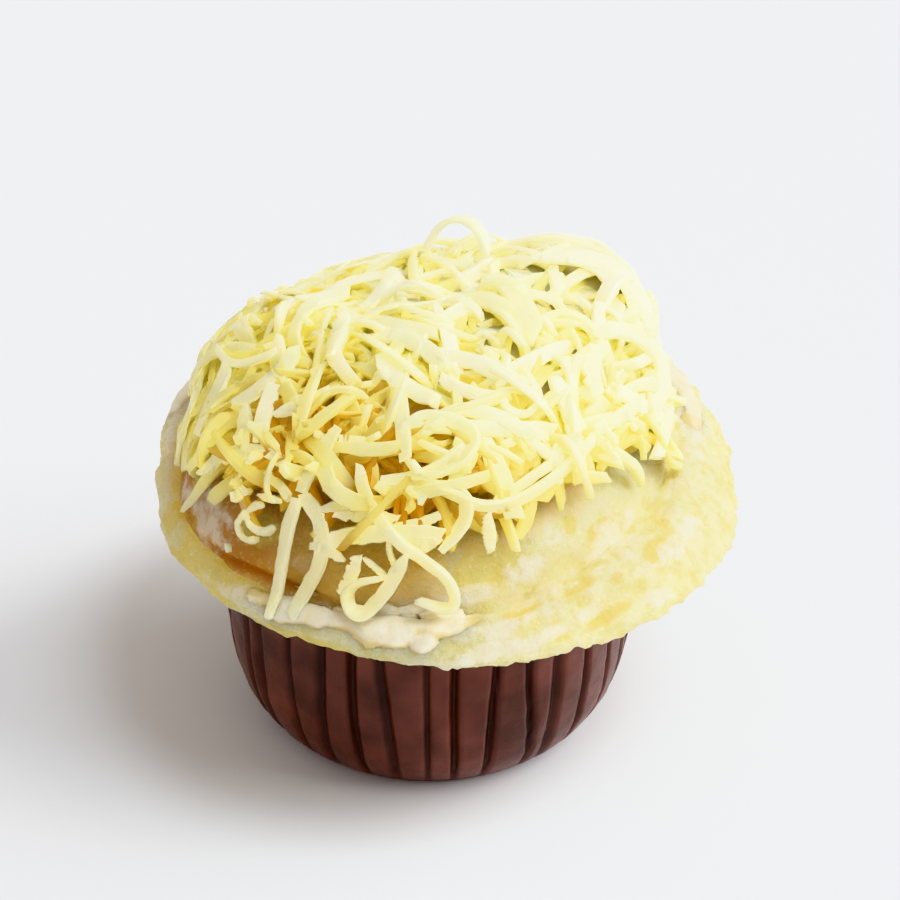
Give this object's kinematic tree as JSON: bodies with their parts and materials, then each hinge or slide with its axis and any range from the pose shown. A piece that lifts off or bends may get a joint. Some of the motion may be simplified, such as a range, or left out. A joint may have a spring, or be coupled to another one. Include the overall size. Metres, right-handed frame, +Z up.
{
  "type": "ensaymada in a paper case",
  "caption": "Coiled brioche bun with an overhanging rim, baked in a pleated brown paper case, spread with buttercream and heaped with grated cheese.",
  "frame": {"origin": "centre of the paper case's flat foot", "axes": "+Z up through the heap of cheese, -Y towards the front, where the longest shreds hang down"},
  "size_m": [0.0866, 0.0876, 0.0727],
  "materials": {
    "paper": "satin",
    "crust": "satin",
    "cream": "satin",
    "cheese": "satin"
  },
  "bodies": {
    "root": {"paper_case": "paper", "bun": "crust", "buttercream": "cream", "grated_cheese": "cheese"}
  },
  "joints": []
}
